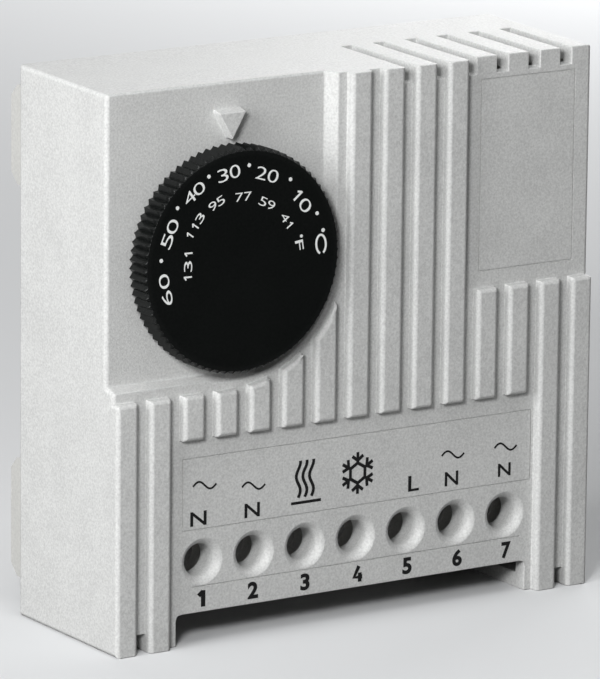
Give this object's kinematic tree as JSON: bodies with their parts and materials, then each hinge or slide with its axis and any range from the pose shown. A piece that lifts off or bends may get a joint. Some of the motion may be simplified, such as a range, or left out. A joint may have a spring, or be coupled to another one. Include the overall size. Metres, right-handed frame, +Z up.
{
  "type": "din rail thermostat",
  "caption": "Ribbed cabinet thermostat with a setting dial, a row of screw terminals over a cable cut-out, and a sprung clip for a standard mounting rail.",
  "frame": {"origin": "middle of the box's underside, level with the undersides of the two legs", "axes": "+Z up, -Y to the front with the dial and terminals, +X to the right seen from the front"},
  "size_m": [0.071, 0.0326, 0.071],
  "materials": {
    "housing": "fine spark-eroded grain",
    "base": "plain moulded",
    "clip": "plain moulded",
    "dial": "fine grain with white print",
    "cam": "plain moulded",
    "insulator": "pressed laminate",
    "board": "lacquered laminate",
    "resistor": "cement coat",
    "steel": "bright",
    "plated_steel": "zinc plated",
    "bimetal": "rolled",
    "brass": "drawn",
    "copper": "rolled",
    "contact": "silver rivets",
    "magnet": "sintered"
  },
  "bodies": {
    "housing": {"cover": "housing", "base_plate": "base", "terminal_block": "base", "fixed_contacts": "contact", "snap_magnet": "magnet", "contact_block": "insulator", "circuit_board": "board", "feedback_resistors": "resistor", "housing_screws": "steel", "rail_clip_spring": "steel", "pivot_pin": "steel", "lever_spring": "steel", "switch_frame": "plated_steel", "spindle_bush": "brass", "common_contact": "brass", "heating_contact": "brass", "cooling_contact": "brass", "contact_bars": "brass"},
    "dial_group": {"dial": "dial", "spindle": "brass", "spindle_ring": "steel", "setting_cam": "cam"},
    "lever_group": {"setting_lever": "plated_steel", "bimetal_strip": "bimetal", "strip_rivets": "steel", "calibration_screw": "brass"},
    "arm_group": {"contact_arm": "copper", "moving_contact": "contact", "armature": "steel"},
    "clip": {"rail_clip": "clip"},
    "screw_1": {"terminal_screw_1": "plated_steel"},
    "cage_1": {"clamp_cage_1": "plated_steel"},
    "screw_2": {"terminal_screw_2": "plated_steel"},
    "cage_2": {"clamp_cage_2": "plated_steel"},
    "screw_3": {"terminal_screw_3": "plated_steel"},
    "cage_3": {"clamp_cage_3": "plated_steel"},
    "screw_4": {"terminal_screw_4": "plated_steel"},
    "cage_4": {"clamp_cage_4": "plated_steel"},
    "screw_5": {"terminal_screw_5": "plated_steel"},
    "cage_5": {"clamp_cage_5": "plated_steel"},
    "screw_6": {"terminal_screw_6": "plated_steel"},
    "cage_6": {"clamp_cage_6": "plated_steel"},
    "screw_7": {"terminal_screw_7": "plated_steel"},
    "cage_7": {"clamp_cage_7": "plated_steel"}
  },
  "joints": [
    {"name": "dial_turn", "type": "hinge", "parent": "housing", "child": "dial_group", "pos_m": [-0.0182, -0.00615, 0.0488], "axis": [0, -1, 0], "range_deg": [-100.6, 65.5]},
    {"name": "lever_follow", "type": "hinge", "parent": "housing", "child": "lever_group", "pos_m": [-0.0298, -0.00265, 0.05552], "axis": [0, -1, 0], "range_deg": [-1.47, 0.96]},
    {"name": "contact_swing", "type": "hinge", "parent": "housing", "child": "arm_group", "pos_m": [0.00865, -0.00345, 0.05252], "axis": [0, -1, 0], "range_deg": [0, 1.7]},
    {"name": "clip_slide", "type": "slide", "parent": "housing", "child": "clip", "axis": [0, 0, -1], "range_m": [0, 0.0026], "stiffness_N_per_m": 1500, "springref_m": -0.001, "deforming": ["rail_clip_spring"]},
    {"name": "screw_turn_1", "type": "hinge", "parent": "housing", "child": "screw_1", "pos_m": [-0.0224, -0.00515, 0.01055], "axis": [0, 1, 0], "range_deg": [0, 1080]},
    {"name": "cage_lift_1", "type": "slide", "parent": "housing", "child": "cage_1", "axis": [0, -1, 0], "range_m": [0, 0.0018]},
    {"name": "screw_turn_2", "type": "hinge", "parent": "housing", "child": "screw_2", "pos_m": [-0.0148, -0.00515, 0.01055], "axis": [0, 1, 0], "range_deg": [0, 1080]},
    {"name": "cage_lift_2", "type": "slide", "parent": "housing", "child": "cage_2", "axis": [0, -1, 0], "range_m": [0, 0.0018]},
    {"name": "screw_turn_3", "type": "hinge", "parent": "housing", "child": "screw_3", "pos_m": [-0.0072, -0.00515, 0.01055], "axis": [0, 1, 0], "range_deg": [0, 1080]},
    {"name": "cage_lift_3", "type": "slide", "parent": "housing", "child": "cage_3", "axis": [0, -1, 0], "range_m": [0, 0.0018]},
    {"name": "screw_turn_4", "type": "hinge", "parent": "housing", "child": "screw_4", "pos_m": [0.0004, -0.00515, 0.01055], "axis": [0, 1, 0], "range_deg": [0, 1080]},
    {"name": "cage_lift_4", "type": "slide", "parent": "housing", "child": "cage_4", "axis": [0, -1, 0], "range_m": [0, 0.0018]},
    {"name": "screw_turn_5", "type": "hinge", "parent": "housing", "child": "screw_5", "pos_m": [0.008, -0.00515, 0.01055], "axis": [0, 1, 0], "range_deg": [0, 1080]},
    {"name": "cage_lift_5", "type": "slide", "parent": "housing", "child": "cage_5", "axis": [0, -1, 0], "range_m": [0, 0.0018]},
    {"name": "screw_turn_6", "type": "hinge", "parent": "housing", "child": "screw_6", "pos_m": [0.0156, -0.00515, 0.01055], "axis": [0, 1, 0], "range_deg": [0, 1080]},
    {"name": "cage_lift_6", "type": "slide", "parent": "housing", "child": "cage_6", "axis": [0, -1, 0], "range_m": [0, 0.0018]},
    {"name": "screw_turn_7", "type": "hinge", "parent": "housing", "child": "screw_7", "pos_m": [0.0232, -0.00515, 0.01055], "axis": [0, 1, 0], "range_deg": [0, 1080]},
    {"name": "cage_lift_7", "type": "slide", "parent": "housing", "child": "cage_7", "axis": [0, -1, 0], "range_m": [0, 0.0018]}
  ],
  "couplings": [
    {"joint": "lever_follow", "follows": "dial_turn", "ratio": 0.0145},
    {"joint": "screw_turn_1", "follows": "cage_lift_1", "rad_per_m": 10472},
    {"joint": "screw_turn_2", "follows": "cage_lift_2", "rad_per_m": 10472},
    {"joint": "screw_turn_3", "follows": "cage_lift_3", "rad_per_m": 10472},
    {"joint": "screw_turn_4", "follows": "cage_lift_4", "rad_per_m": 10472},
    {"joint": "screw_turn_5", "follows": "cage_lift_5", "rad_per_m": 10472},
    {"joint": "screw_turn_6", "follows": "cage_lift_6", "rad_per_m": 10472},
    {"joint": "screw_turn_7", "follows": "cage_lift_7", "rad_per_m": 10472}
  ]
}
